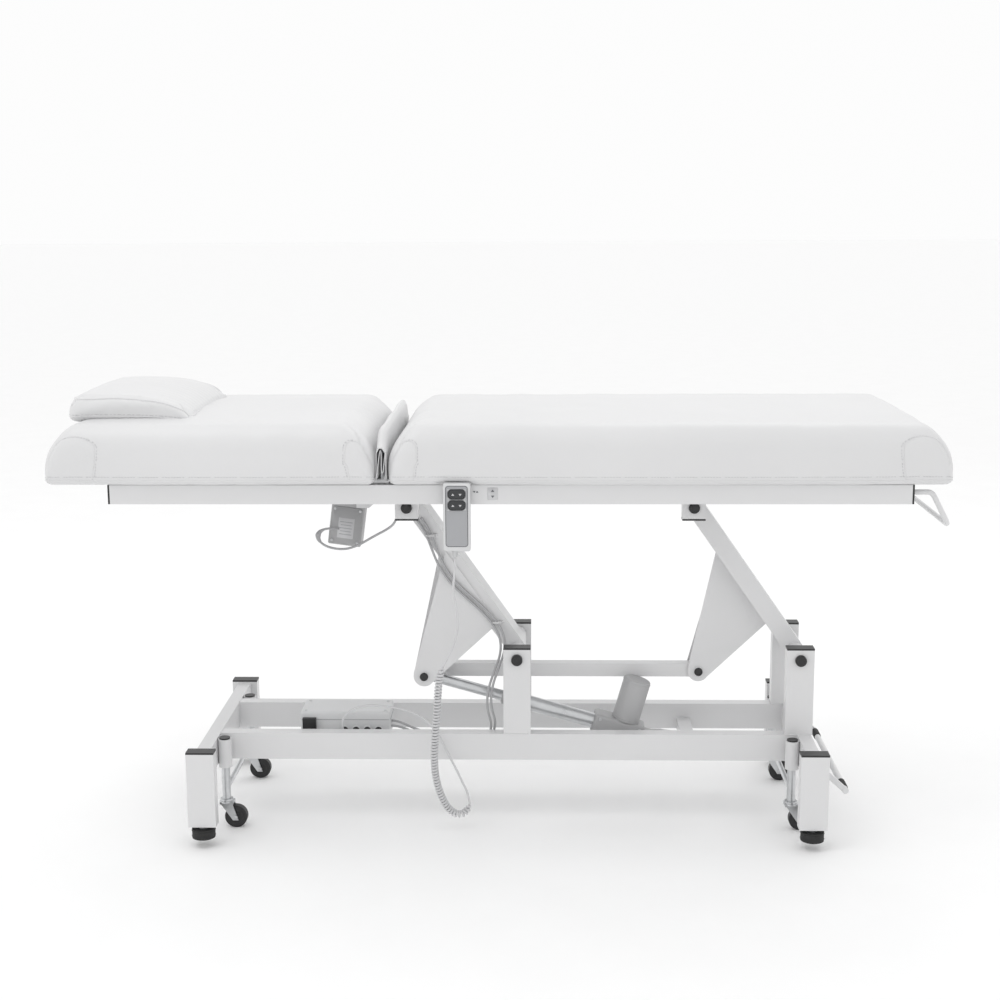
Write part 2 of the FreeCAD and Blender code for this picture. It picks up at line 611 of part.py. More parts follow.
def make_backrest_actuator():
    """Second actuator: motor box on the upper frame and rod under the backrest."""
    rise = math.degrees(math.atan2(BACK_LUG_Z - BACK_PIVOT_Z, BACK_PIVOT_X - BACK_LUG_X))
    length = math.hypot(BACK_LUG_Z - BACK_PIVOT_Z, BACK_PIVOT_X - BACK_LUG_X)

    def lay(shape):
        return turned(shape, BACK_PIVOT_X, BACK_PIVOT_Z, rise)

    x = BACK_PIVOT_X
    z = BACK_PIVOT_Z
    shell = box(x - 68, x + 6, -30, 30, z - 106, z + 18)
    shell = shell.makeFillet(4.0, shell.Edges)
    shell = shell.cut(rod_y(x, z, BACK_PIN_R + RUN_GAP, -31, 31))
    shell = shell.cut(Part.makeCylinder(BACK_TUBE_R, 20, V(x - 68, 0, z), X_AXIS))
    keep("backrest_motor_box", lay(shell))
    tube = Part.makeCylinder(BACK_TUBE_R, length - 120, V(x - 50, 0, z), V(-1, 0, 0))
    bore = Part.makeCylinder(BACK_ROD_R + 0.1, length, V(x - 52, 0, z), V(-1, 0, 0))
    keep("backrest_motor_box", lay(tube.cut(bore)))
    rod = Part.makeCylinder(BACK_ROD_R, length - 80, V(x - 72, 0, z), V(-1, 0, 0))
    keep("backrest_actuator_rod", lay(rod))


def make_backrest_mounts():
    """Bracket that carries the backrest actuator, and the lugs it pushes on."""
    x = BACK_PIVOT_X
    z = BACK_PIVOT_Z
    tube_face = PIVOT_X[0] + ARM_DX - BRACKET_LONG / 2
    outline = [(x - 14, z - 14), (x + 14, z - 14), (tube_face, 757), (tube_face, 790),
               (-262, 790), (x - 14, z + 14)]
    ears = [plate_xz(outline, y0, y0 + 6) for y0 in (-38, 32)]
    bracket = ears[0].fuse([ears[1], rod_y(x, z, BACK_PIN_R, -38, 38)])
    keep("upper_cross_tubes", bracket)
    outline = [(BACK_LUG_X - 14, BACK_LUG_Z - 12), (BACK_LUG_X + 14, BACK_LUG_Z - 12),
               (BACK_LUG_X + 25, BOARD_BOTTOM), (BACK_LUG_X - 25, BOARD_BOTTOM)]
    for y0 in (-19, 14):
        keep("backrest_fittings", plate_xz(outline, y0, y0 + 5))


def export_all():
    """Write each node to its own STEP file."""
    os.makedirs("parts", exist_ok=True)
    for name, solids in nodes.items():
        shape = solids[0] if len(solids) == 1 else Part.makeCompound(solids)
        if not shape.isValid():
            print("invalid:", name)
        shape.exportStep("parts/" + name + ".step")
    print(len(nodes), "nodes")


make_base_frame()
make_feet()
make_castors()
make_pedal()
left_pin = make_linkage()
make_lift_actuator(left_pin)
make_control_box()
make_upper_frame()
make_paper_roll_bar()
make_handset()
make_handset_cord()
make_motor_cables()
make_backrest_cable()
make_upholstery()
make_backrest_hinge()
make_backrest_actuator()
make_backrest_mounts()
export_all()
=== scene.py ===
import json
import math

import bmesh
import bpy
from mathutils import Matrix, Vector, noise
from mathutils.kdtree import KDTree


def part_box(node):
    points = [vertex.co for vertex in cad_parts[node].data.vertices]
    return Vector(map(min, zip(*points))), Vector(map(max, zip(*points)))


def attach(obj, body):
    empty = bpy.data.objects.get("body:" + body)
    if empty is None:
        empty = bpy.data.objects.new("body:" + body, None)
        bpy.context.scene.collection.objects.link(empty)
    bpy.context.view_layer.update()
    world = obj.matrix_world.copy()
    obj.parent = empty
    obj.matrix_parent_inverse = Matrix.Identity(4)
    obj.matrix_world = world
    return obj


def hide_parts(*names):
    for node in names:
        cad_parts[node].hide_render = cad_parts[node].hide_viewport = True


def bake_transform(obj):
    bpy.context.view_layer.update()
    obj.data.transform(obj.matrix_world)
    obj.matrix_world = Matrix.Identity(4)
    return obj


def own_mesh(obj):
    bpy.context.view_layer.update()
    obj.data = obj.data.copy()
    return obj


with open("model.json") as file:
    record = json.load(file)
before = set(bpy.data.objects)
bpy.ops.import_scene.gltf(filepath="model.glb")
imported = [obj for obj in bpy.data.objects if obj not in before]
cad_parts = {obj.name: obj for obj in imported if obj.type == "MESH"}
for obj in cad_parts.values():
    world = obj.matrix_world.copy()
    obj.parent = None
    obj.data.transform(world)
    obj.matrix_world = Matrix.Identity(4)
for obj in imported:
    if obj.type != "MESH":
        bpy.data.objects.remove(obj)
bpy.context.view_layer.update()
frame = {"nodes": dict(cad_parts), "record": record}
NODES = frame["nodes"]

# camera, in metres and radians
CAMERA_AT = Vector((0.0949, -3.5065, 1.3619))
PITCH = 0.18320
YAW = -0.027203
ROLL = -0.005033
LENS = 57.313

X_AXIS = Vector((1, 0, 0))
Y_AXIS = Vector((0, 1, 0))
Z_AXIS = Vector((0, 0, 1))

# light and floor
WORLD_STRENGTH = 0.98
FLOOR_HALF = 60.0

# cords: thickness, the gap between the two cables in the routes' millimetres, the curl's
# outside width, pitch and points in each turn, and the (x, z) places of the cable clips
CORD_D = 0.005
CABLE_D = 0.0054
LEAD_D = 0.0052
CABLE_GAP = 9.0
CURL_OD = 0.0172
CURL_PITCH = 0.0074
CURL_STEPS = 12
CLIPS = ((-0.158, 0.640), (-0.012, 0.441))

# cushions: the top's rounding is (run, rise) at the ends and at the sides
COVER_BOTTOM = 0.7954
COVER_ENDS = (0.074, 0.084)
COVER_SIDES = (0.034, 0.036)
COVER_CORNER = 0.034
BOTTOM_ROUND = 0.012
CROWN = 0.009
CLOTH_FRAMES = 14
SWELL = 0.005

# dent in the seat's side, where the hand control's hook presses
DENT_X = -0.081
DENT_HALF = 0.040
DENT_TOP = 0.8065
DENT_START = -0.276
DENT_FACE = -0.281

# stitches
STITCH_GAP = 0.0068
STITCH_LENGTH = 0.0038
THREAD_R = 0.00065

# flap between the cushions
FLAP_RIDGE = 0.9105
FLAP_FOOT = 0.808
FLAP_INSET = 0.006
FLAP_THICK = 0.0011

# hand control's panel
PANEL_FRONT = -0.310
PANEL_BOTTOM = 0.672
PANEL_WIDTH = 0.045
PANEL_CORNER = 0.006
KEY_GAP = 0.0007

# actuators: rear pivot and the slope of the axis, as the CAD has them
BACK_PIVOT = Vector((-0.305, 0, 0.715))
BACK_SLOPE = math.atan2(50.0, 375.0)
LIFT_PIVOT = Vector((0.350, -0.027, 0.1665))
LIFT_SLOPE = math.atan2(314.9 - 166.5, 350.0 + 172.8)


# ---------------------------------------------------------------- camera and light
def make_camera():
    """Camera at the viewing angle of a shop photograph, a little above the bed."""
    right = Vector((math.cos(YAW), -math.sin(YAW), 0))
    ahead = Vector((math.sin(YAW) * math.cos(PITCH), math.cos(YAW) * math.cos(PITCH),
                    -math.sin(PITCH)))
    up = right.cross(ahead)
    rolled_right = math.cos(ROLL) * right + math.sin(ROLL) * up
    rolled_up = math.cos(ROLL) * up - math.sin(ROLL) * right
    data = bpy.data.cameras.new("camera")
    data.lens = LENS
    data.sensor_width = 36.0
    data.clip_end = 60.0
    camera = bpy.data.objects.new("camera", data)
    bpy.context.scene.collection.objects.link(camera)
    columns = Matrix((rolled_right, rolled_up, -ahead)).transposed()
    camera.matrix_world = Matrix.Translation(CAMERA_AT) @ columns.to_4x4()
    bpy.context.scene.camera = camera


def area_light(name, place, target, size, power):
    """Soft square light that points at a target."""
    data = bpy.data.lights.new(name, "AREA")
    data.size = size
    data.energy = power
    lamp = bpy.data.objects.new(name, data)
    bpy.context.scene.collection.objects.link(lamp)
    lamp.location = place
    aim = Vector(target) - Vector(place)
    lamp.rotation_euler = aim.to_track_quat("-Z", "Y").to_euler()


def make_studio():
    """Pale floor, pale world and two soft lights."""
    bpy.context.scene.view_settings.view_transform = "Standard"
    world = bpy.data.worlds.new("studio")
    world.use_nodes = True
    back = world.node_tree.nodes["Background"]
    back.inputs["Color"].default_value = (1.0, 1.0, 1.0, 1.0)
    back.inputs["Strength"].default_value = WORLD_STRENGTH
    bpy.context.scene.world = world
    area_light("key", (-1.4, -0.9, 3.6), (0, 0, 0.6), 1.8, 15)
    area_light("rim", (1.2, 2.0, 3.4), (0, 0, 0.7), 2.2, 12)
    mesh = bpy.data.meshes.new("floor")
    corners = [(x * FLOOR_HALF, y * FLOOR_HALF, 0) for x, y in ((-1, -1), (1, -1), (1, 1), (-1, 1))]
    mesh.from_pydata(corners, [], [(0, 1, 2, 3)])
    floor = bpy.data.objects.new("floor", mesh)
    bpy.context.scene.collection.objects.link(floor)
    mesh.materials.append(surface("floor_paint", (0.985, 0.985, 0.985), 0.75, grain=40,
                                  depth=0.0002, vary=0.01))


# ---------------------------------------------------------------- materials
def surface(name, colour, rough, metal=0.0, grain=300.0, depth=0.0001, vary=0.05,
            cells=0.0, coat=0.0, sheen=0.0, blotch=6.0):
    """Procedural finish: slow colour and roughness drift plus fine grain or pebbled cells."""
    mat = bpy.data.materials.new(name)
    mat.use_nodes = True
    tree = mat.node_tree
    shader = tree.nodes["Principled BSDF"]
    shader.inputs["Metallic"].default_value = metal
    shader.inputs["Coat Weight"].default_value = coat
    shader.inputs["Coat Roughness"].default_value = 0.25
    shader.inputs["Sheen Weight"].default_value = sheen
    place = tree.nodes.new("ShaderNodeTexCoord").outputs["Object"]
    drift = tree.nodes.new("ShaderNodeTexNoise")
    drift.inputs["Scale"].default_value = blotch
    drift.inputs["Detail"].default_value = 5.0
    tree.links.new(place, drift.inputs["Vector"])
    ramp = tree.nodes.new("ShaderNodeValToRGB")
    ramp.color_ramp.elements[0].position = 0.3
    ramp.color_ramp.elements[1].position = 0.7
    ramp.color_ramp.elements[0].color = (*[c * (1 - vary) for c in colour], 1)
    ramp.color_ramp.elements[1].color = (*[min(1.0, c * (1 + vary * 0.4)) for c in colour], 1)
    tree.links.new(drift.outputs["Fac"], ramp.inputs["Fac"])
    tree.links.new(ramp.outputs["Color"], shader.inputs["Base Color"])
    gloss = tree.nodes.new("ShaderNodeMapRange")
    gloss.inputs["To Min"].default_value = max(0.04, rough - 0.07)
    gloss.inputs["To Max"].default_value = min(1.0, rough + 0.07)
    tree.links.new(drift.outputs["Fac"], gloss.inputs["Value"])
    tree.links.new(gloss.outputs["Result"], shader.inputs["Roughness"])
    fine = tree.nodes.new("ShaderNodeTexNoise")
    fine.inputs["Scale"].default_value = grain
    fine.inputs["Detail"].default_value = 3.0
    tree.links.new(place, fine.inputs["Vector"])
    height = fine.outputs["Fac"]
    if cells:
        pebble = tree.nodes.new("ShaderNodeTexVoronoi")
        pebble.feature = "SMOOTH_F1"
        pebble.inputs["Scale"].default_value = cells
        tree.links.new(place, pebble.inputs["Vector"])
        both = tree.nodes.new("ShaderNodeMath")
        both.operation = "ADD"
        tree.links.new(pebble.outputs["Distance"], both.inputs[0])
        tree.links.new(height, both.inputs[1])
        height = both.outputs["Value"]
    bump = tree.nodes.new("ShaderNodeBump")
    bump.inputs["Strength"].default_value = 0.6
    bump.inputs["Distance"].default_value = depth
    tree.links.new(height, bump.inputs["Height"])
    tree.links.new(bump.outputs["Normal"], shader.inputs["Normal"])
    return mat


MATS = {
    "white_vinyl": surface("white_vinyl", (0.71, 0.71, 0.715), 0.40, grain=55, depth=0.0004,
                           vary=0.03, cells=850, coat=0.06, sheen=0.12, blotch=3.0),
    "white_paint": surface("white_paint", (0.70, 0.70, 0.705), 0.36, grain=650, depth=0.00012,
                           vary=0.025, coat=0.15),
    "black_plastic": surface("black_plastic", (0.020, 0.020, 0.021), 0.42, grain=900,
                             depth=0.00012, vary=0.25),
    "black_rubber": surface("black_rubber", (0.016, 0.016, 0.016), 0.62, grain=500,
                            depth=0.0002, vary=0.3),
    "wheel_rubber": surface("wheel_rubber", (0.014, 0.014, 0.015), 0.48, grain=400,
                            depth=0.0002, vary=0.35),
    "zinc_steel": surface("zinc_steel", (0.62, 0.63, 0.64), 0.30, metal=1.0, grain=350,
                          depth=0.00008, vary=0.12, blotch=30),
    "grey_plastic": surface("grey_plastic", (0.43, 0.43, 0.435), 0.46, grain=700,
                            depth=0.00012, vary=0.05),
    "light_plastic": surface("light_plastic", (0.66, 0.665, 0.67), 0.40, grain=800,
                             depth=0.0001, vary=0.04),
    "dark_key": surface("dark_key", (0.035, 0.037, 0.040), 0.34, grain=900, depth=0.00008,
                        vary=0.15),
    "white_cord": surface("white_cord", (0.62, 0.62, 0.63), 0.42, grain=500, depth=0.0001,
                          vary=0.04),
    "grey_cord": surface("grey_cord", (0.42, 0.42, 0.43), 0.45, grain=500, depth=0.0001,
                         vary=0.05),
    "plywood": surface("plywood", (0.70, 0.70, 0.695), 0.60, grain=120, depth=0.0002, vary=0.03,
                       blotch=12),
    "thread": surface("thread", (0.60, 0.60, 0.61), 0.65, grain=1500, depth=0.0001, vary=0.06),
    "panel_grey": surface("panel_grey", (0.13, 0.135, 0.145), 0.44, grain=900, depth=0.0001,
                          vary=0.05),
    "print_grey": surface("print_grey", (0.38, 0.385, 0.40), 0.5, grain=900, depth=0.00005,
                          vary=0.05),
}


def finish_nodes():
    """Gives each CAD node its slot's material and softens its sharp edges."""
    slots = {s["node"]: s["material_slot"] for s in frame["record"]["subparts"]}
    for name, node in NODES.items():
        node.data.materials.clear()
        node.data.materials.append(MATS[slots[name]])
        bevel = node.modifiers.new("soft_edges", "BEVEL")
        bevel.width = 0.0009
        bevel.segments = 2
        bevel.limit_method = "ANGLE"
        bevel.angle_limit = math.radians(50)
        bevel.harden_normals = False


# ---------------------------------------------------------------- mesh helpers
def piece(name, verts, faces, mat, body, smooth=True):
    """New mesh piece with a material, riding on a CAD body."""
    mesh = bpy.data.meshes.new(name)
    mesh.from_pydata([tuple(v) for v in verts], [], faces)
    mesh.validate()
    mesh.materials.append(MATS[mat])
    for polygon in mesh.polygons:
        polygon.use_smooth = smooth
    obj = bpy.data.objects.new(name, mesh)
    bpy.context.scene.collection.objects.link(obj)
    if body:
        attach(obj, body)
    return obj


def joined(shapes):
    """Several (verts, faces) shapes as one."""
    verts = []
    faces = []
    for some_verts, some_faces in shapes:
        start = len(verts)
        verts.extend(some_verts)
        faces.extend([tuple(start + i for i in face) for face in some_faces])
    return verts, faces


def piece_of(name, shapes, mat, body, smooth=True):
    """One piece made of several shapes."""
    verts, faces = joined(shapes)
    return piece(name, verts, faces, mat, body, smooth)


def circle(centre, radius, right, up, count):
    """Evenly spaced points of a circle in the plane of right and up."""
    line = []
    for k in range(count):
        turn = 2 * math.pi * k / count
        line.append(Vector(centre) + radius * (math.cos(turn) * right + math.sin(turn) * up))
    return line


def rounded_outline(width, height, corner, steps):
    """(x, y) points of a rectangle with rounded corners, about its middle."""
    ring = []
    for sx, sy, start in ((1, 1, 0), (-1, 1, 90), (-1, -1, 180), (1, -1, 270)):
        for s in range(steps + 1):
            turn = math.radians(start + 90 * s / steps)
            ring.append((sx * (width / 2 - corner) + corner * math.cos(turn),
                         sy * (height / 2 - corner) + corner * math.sin(turn)))
    return ring


def tube_shape(points, radius, sides=10, closed=False, flat=1.0):
    """Vertices and faces of a tube that follows points; radius may be one per point."""
    points = [Vector(p) for p in points]
    count = len(points)
    radii = radius if isinstance(radius, list) else [radius] * count
    verts = []
    faces = []
    side = None
    for i, point in enumerate(points):
        if closed:
            ahead = points[(i + 1) % count] - points[i - 1]
        else:
            ahead = points[min(i + 1, count - 1)] - points[max(i - 1, 0)]
        ahead.normalize()
        if side is None:
            side = ahead.orthogonal().normalized()
        side = (side - ahead * side.dot(ahead)).normalized()
        verts += circle(point, radii[i], side, flat * ahead.cross(side), sides)
    rings = count if closed else count - 1
    for i in range(rings):
        a = i * sides
        b = ((i + 1) % count) * sides
        for k in range(sides):
            m = (k + 1) % sides
            faces.append((a + k, a + m, b + m, b + k))
    if not closed:
        faces.append(tuple(reversed(range(sides))))
        faces.append(tuple(range(len(verts) - sides, len(verts))))
    return verts, faces


def dome_shape(centre, axis, radius, height, rings=6, sides=28):
    """Low dome standing on a flat face."""
    axis = Vector(axis).normalized()
    side = axis.orthogonal().normalized()
    other = axis.cross(side)
    verts = [Vector(centre) + axis * height]
    faces = []
    for r in range(1, rings + 1):
        lean = math.pi / 2 * r / rings
        verts += circle(Vector(centre) + axis * height * math.cos(lean),
                        radius * math.sin(lean), side, other, sides)
    for k in range(sides):
        faces.append((0, 1 + k, 1 + (k + 1) % sides))
    for r in range(rings - 1):
        for k in range(sides):
            a = 1 + r * sides + k
            b = 1 + r * sides + (k + 1) % sides
            faces.append((a, a + sides, b + sides, b))
    faces.append(tuple(1 + (rings - 1) * sides + k for k in reversed(range(sides))))
    return verts, faces


def lathe_shape(centre, axis, outline, sides=36):
    """Solid of revolution from (radius, distance along the axis) points."""
    axis = Vector(axis).normalized()
    side = axis.orthogonal().normalized()
    other = axis.cross(side)
    verts = []
    faces = []
    for radius, along in outline:
        verts += circle(Vector(centre) + axis * along, radius, side, other, sides)
    for r in range(len(outline) - 1):
        for k in range(sides):
            m = (k + 1) % sides
            a = r * sides
            faces.append((a + k, a + m, a + sides + m, a + sides + k))
    faces.append(tuple(reversed(range(sides))))
    faces.append(tuple(range(len(verts) - sides, len(verts))))
    return verts, faces


def plate_shape(centre, right, up, width, height, thick, corner=0.0, steps=5):
    """Thin plate with rounded corners; its face looks along right x up."""
    right = Vector(right).normalized()
    up = Vector(up).normalized()
    out = right.cross(up)
    ring = rounded_outline(width, height, corner, steps)
    count = len(ring)
    verts = []
    for level in (0.0, thick):
        shrink = 1.0 if level == 0.0 else 1.0 - 0.5 * thick / max(width, height)
        for x, y in ring:
            verts.append(Vector(centre) + right * x * shrink + up * y * shrink + out * level)
    faces = [(k, (k + 1) % count, count + (k + 1) % count, count + k) for k in range(count)]
    faces.append(tuple(range(count, 2 * count)))
    faces.append(tuple(reversed(range(count))))
    return verts, faces


def smooth_line(points, resolution=8):
    """Points along the NURBS curve of these control points."""
    data = bpy.data.curves.new("route", "CURVE")
    data.dimensions = "3D"
    data.resolution_u = resolution
    spline = data.splines.new("NURBS")
    spline.points.add(len(points) - 1)
    for target, source in zip(spline.points, points):
        target.co = (*source, 1.0)
    spline.order_u = 3
    spline.use_endpoint_u = True
    obj = bpy.data.objects.new("route", data)
    bpy.context.scene.collection.objects.link(obj)
    bpy.context.view_layer.update()
    mesh = bpy.data.meshes.new_from_object(obj)
    line = [v.co.copy() for v in mesh.vertices]
    bpy.data.objects.remove(obj)
    bpy.data.meshes.remove(mesh)
    return line


def metres(points):
    """The CAD route's millimetres as metres."""
    return [tuple(c / 1000 for c in p) for p in points]


def length_of(line):
    """Length of a polyline."""
    return sum((b - a).length for a, b in zip(line, line[1:]))


# ---------------------------------------------------------------- cords
LEAD_DOWN = [(-86, -297, 647), (-86, -297, 617), (-92, -293, 577), (-84, -286, 533),
             (-81, -278, 493), (-91, -268, 455), (-104, -258, 424), (-118, -250, 396)]
CURL = [(-118, -250, 396), (-126, -247, 372), (-130, -240, 316), (-135, -230, 256),
        (-140, -218, 196), (-140, -205, 138), (-128, -190, 84), (-108, -176, 42),
        (-76, -166, 32), (-66, -160, 56)]
LEAD_BACK = [(-66, -160, 56), (-70, -156, 78), (-84, -152, 106), (-100, -148, 140),
             (-118, -144, 174), (-134, -137, 206), (-158, -122, 232), (-190, -106, 248),
             (-226, -95, 255), (-264, -88, 259), (-302, -85, 260), (-334, -86, 250),
             (-353, -88, 232), (-356, -89, 212), (-353, -86, 194), (-353, -68, 194)]
MOTOR_CABLE = [(-184, -46, 676), (-169, -47, 655), (-155, -48, 620), (-140, -49, 578),
               (-121, -49, 546), (-98, -49, 519), (-68, -49, 492), (-38, -49, 464),
               (-16, -50, 438), (0, -56, 410), (2, -68, 376), (-14, -80, 336), (-28, -85, 294),
               (-30, -87, 252), (-18, -86, 214), (-28, -82, 184), (-62, -76, 168),
               (-106, -66, 166), (-156, -54, 172), (-206, -44, 186), (-236, -38, 196),
               (-250, -38, 196)]
BACK_CABLE = [(-223, -84, 755), (-223, -84, 704), (-228, -80, 678), (-244, -69, 661),
              (-280, -61, 641), (-316, -58, 619), (-347, -57, 610), (-382, -56, 615),
              (-402, -54, 628), (-406, -49, 644), (-394, -44, 654), (-374, -42, 656),
              (-361, -41, 653), (-361, -30, 653)]


def curl_line():
    """Helix of the curled part, wound round its smooth route."""
    route = smooth_line(metres(CURL), 24)
    spans = [0.0]
    for a, b in zip(route, route[1:]):
        spans.append(spans[-1] + (b - a).length)
    total = spans[-1]
    steps = int(round(total / CURL_PITCH)) * CURL_STEPS
    coil_radius = (CURL_OD - CORD_D) / 2
    ease = 2.5 * CURL_STEPS
    side = X_AXIS
    line = []
    at = 0
    for step in range(steps + 1):
        along = total * step / steps
        while at < len(spans) - 2 and spans[at + 1] < along:
            at += 1
        share = (along - spans[at]) / max(1e-9, spans[at + 1] - spans[at])
        middle = route[at].lerp(route[at + 1], share)
        ahead = (route[at + 1] - route[at]).normalized()
        side = (side - ahead * side.dot(ahead)).normalized()
        other = ahead.cross(side)
        grow = min(1.0, step / ease, (steps - step) / ease)
        radius = coil_radius * math.sin(grow * math.pi / 2)
        turn = 2 * math.pi * step / CURL_STEPS
        line.append(middle + radius * (math.cos(turn) * side + math.sin(turn) * other))
    return line


def make_handset_cord():
    """The hand control's whole cord as one tube: lead, curl, lead."""
    line = smooth_line(metres(LEAD_DOWN), 10)[:-1]
    line += curl_line()
    line += smooth_line(metres(LEAD_BACK), 10)[1:]
    verts, faces = tube_shape(line, CORD_D / 2, 8)
    cord = piece("handset_cord", verts, faces, "white_cord", "base")
    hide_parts("handset_lead_upper", "handset_cord_curl", "handset_lead_lower")
    tuple(line[0])
    length_of(line)
    [tuple(p) for p in line]
    anchor = line[-1]
    tuple(anchor)
    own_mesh(cord)


def make_motor_cables():
    """Two cables down the left arm, bending to the control box, with their clips."""
    for tag, shift in (("a", 0.0), ("b", CABLE_GAP)):
        route = [(x + shift, y, z + shift * 0.6) for x, y, z in MOTOR_CABLE[:-2]]
        route += [(x, y + shift, z + shift) for x, y, z in MOTOR_CABLE[-2:]]
        line = smooth_line(metres(route), 10)
        verts, faces = tube_shape(line, CABLE_D / 2, 10)
        cable = piece("motor_cable_" + tag, verts, faces, "grey_cord", None)
        if tag == "a":
            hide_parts("motor_cables")
        tuple(line[0])
        length_of(line)
        [tuple(p) for p in line]
        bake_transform(cable)
    make_backrest_lead()
    clips = []
    for x, z in CLIPS:
        turns = [0.314 * t for t in range(-2, 13)]
        loop = [(x + 0.004 + 0.0085 * math.cos(t), -0.048 - 0.0075 * math.sin(t), z + 0.002)
                for t in turns]
        clips.append(tube_shape(loop, 0.0011, 6, flat=3.0))
        clips.append(dome_shape((x + 0.016, -0.040, z), -Y_AXIS, 0.004, 0.003, 4, 16))
    piece_of("cable_clips", clips, "white_paint", "left_arm")


def make_backrest_lead():
    """The backrest motor's lead, with the thicker boot where it bends."""
    line = smooth_line(metres(BACK_CABLE), 10)
    verts, faces = tube_shape(line, LEAD_D / 2, 10)
    cable = piece("backrest_lead", verts, faces, "grey_cord", "upper_frame")
    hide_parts("backrest_motor_cable")
    tuple(line[0])
    length_of(line)
    [tuple(p) for p in line]
    boot = line[int(len(line) * 0.62):int(len(line) * 0.80)]
    radii = [0.0062 - 0.0032 * abs(2 * i / (len(boot) - 1) - 0.9) for i in range(len(boot))]
    verts, faces = tube_shape(boot, radii, 14)
    piece("backrest_lead_boot", verts, faces, "grey_cord", "upper_frame")


# ---------------------------------------------------------------- upholstery
def quarter(run, rise):
    """Square corner of a unit cell moved on to a quarter circle."""
    size = math.hypot(run, rise)
    if size < 1e-9:
        return run, rise
    scale = max(run, rise) / size
    return run * scale, rise * scale


def soft_box(lo, hi, ends, sides, corner, crown=CROWN, fall=0.0):
    """Function that takes a point of the box to the padded surface.

    ends and sides are the (run, rise) of the top rounding at the X ends and Y sides."""
    mid = (Vector(lo) + Vector(hi)) / 2
    half = (Vector(hi) - Vector(lo)) / 2
    height = hi[2] - lo[2]

    def skin(point):
        p = Vector(point) - mid
        share = (p.x + half.x) / (2 * half.x)
        sx = math.copysign(1, p.x)
        sy = math.copysign(1, p.y)
        run = max(0.0, 1 - (half.x - abs(p.x)) / ends[0])
        rise = max(0.0, (p.z - half.z + ends[1]) / ends[1])
        level = p.z / half.z
        if run > 0 and rise > 0:
            run, rise = quarter(run, rise)
            p.x = sx * (half.x - ends[0] + ends[0] * run)
            p.z = half.z - ends[1] + ends[1] * rise
        run = max(0.0, 1 - (half.x - abs(p.x)) / ends[0])
        top = half.z - ends[1] * (1 - math.sqrt(max(0.0, 1 - min(1.0, run) ** 2)))
        run = max(0.0, 1 - (half.y - abs(p.y)) / sides[0])
        rise = max(0.0, (p.z - top + sides[1]) / sides[1])
        if run > 0 and rise > 0:
            run, rise = quarter(run, min(1.0, rise))
            p.y = sy * (half.y - sides[0] + sides[0] * run)
            p.z = top - sides[1] + sides[1] * rise
        for axis, size in ((0, half.x), (1, half.y)):
            run = max(0.0, 1 - (size - abs(p[axis])) / BOTTOM_ROUND)
            rise = max(0.0, (-p.z - half.z + BOTTOM_ROUND) / BOTTOM_ROUND)
            if run > 0 and rise > 0:
                run, rise = quarter(min(1.0, run), min(1.0, rise))
                p[axis] = math.copysign(size - BOTTOM_ROUND + BOTTOM_ROUND * run, p[axis])
                p.z = -(half.z - BOTTOM_ROUND + BOTTOM_ROUND * rise)
        radius = corner * (1 + 0.6 * level)
        dx = (abs(p.x) - (half.x - radius)) / radius
        dy = (abs(p.y) - (half.y - radius)) / radius
        if dx > 0 and dy > 0:
            dx, dy = quarter(dx, dy)
            p.x = sx * (half.x - radius + dx * radius)
            p.y = sy * (half.y - radius + dy * radius)
        u = min(1.0, abs(p.x) / half.x)
        v = min(1.0, abs(p.y) / half.y)
        w = max(-1.0, min(1.0, p.z / half.z))
        if w > 0:
            p.z += crown * w * (1 - u ** 4) * (1 - v ** 2)
        swell = 0.004 * (1 - w * w)
        pull = -0.005 * (0.4 + 0.6 * w)
        p.y += sy * (swell + pull * (1 - u ** 6)) * v ** 8
        p.x += sx * (swell + pull * (1 - v ** 6)) * u ** 8
        ripple = noise.noise(p * 12.0) * 0.0012 + noise.noise(p * 34.0) * 0.0004
        out = Vector((p.x * u ** 10, p.y * v ** 10, max(0.0, w) * 0.4))
        if out.length > 1e-6:
            p += out.normalized() * ripple
        p += mid
        dent = (DENT_TOP - p.z) / 0.012
        inside = DENT_HALF - abs(p.x - DENT_X)
        if p.y < DENT_START and inside > 0 and dent > 0:
            p.y += (DENT_FACE - p.y) * min(1.0, dent * 2) * min(1.0, inside * 120)
        if fall:
            rest = 1 - fall * max(0.0, share) ** 4.5
            pucker = 0.0014 * math.sin(p.y * 260) * share ** 6 * (p.z - lo[2]) / height
            p.z = lo[2] + (p.z - lo[2]) * rest + pucker
        return p

    return skin


def padded_shape(lo, hi, skin, step):
    """Grid over all six sides of a box, laid on its padded skin."""
    shape = bmesh.new()
    bmesh.ops.create_cube(shape, size=1.0)
    mid = (Vector(lo) + Vector(hi)) / 2
    size = Vector(hi) - Vector(lo)
    for axis in range(3):
        cuts = max(2, int(size[axis] / step))
        for c in range(1, cuts):
            place = Vector()
            place[axis] = c / cuts - 0.5
            normal = Vector()
            normal[axis] = 1.0
            bmesh.ops.bisect_plane(shape, geom=shape.verts[:] + shape.edges[:] + shape.faces[:],
                                   plane_co=place, plane_no=normal, dist=1e-7)
    for vert in shape.verts:
        vert.co = skin(Vector((vert.co.x * size.x, vert.co.y * size.y, vert.co.z * size.z)) + mid)
    bmesh.ops.recalc_face_normals(shape, faces=shape.faces[:])
    verts = [v.co.copy() for v in shape.verts]
    faces = [tuple(v.index for v in f.verts) for f in shape.faces]
    shape.free()
    return verts, faces


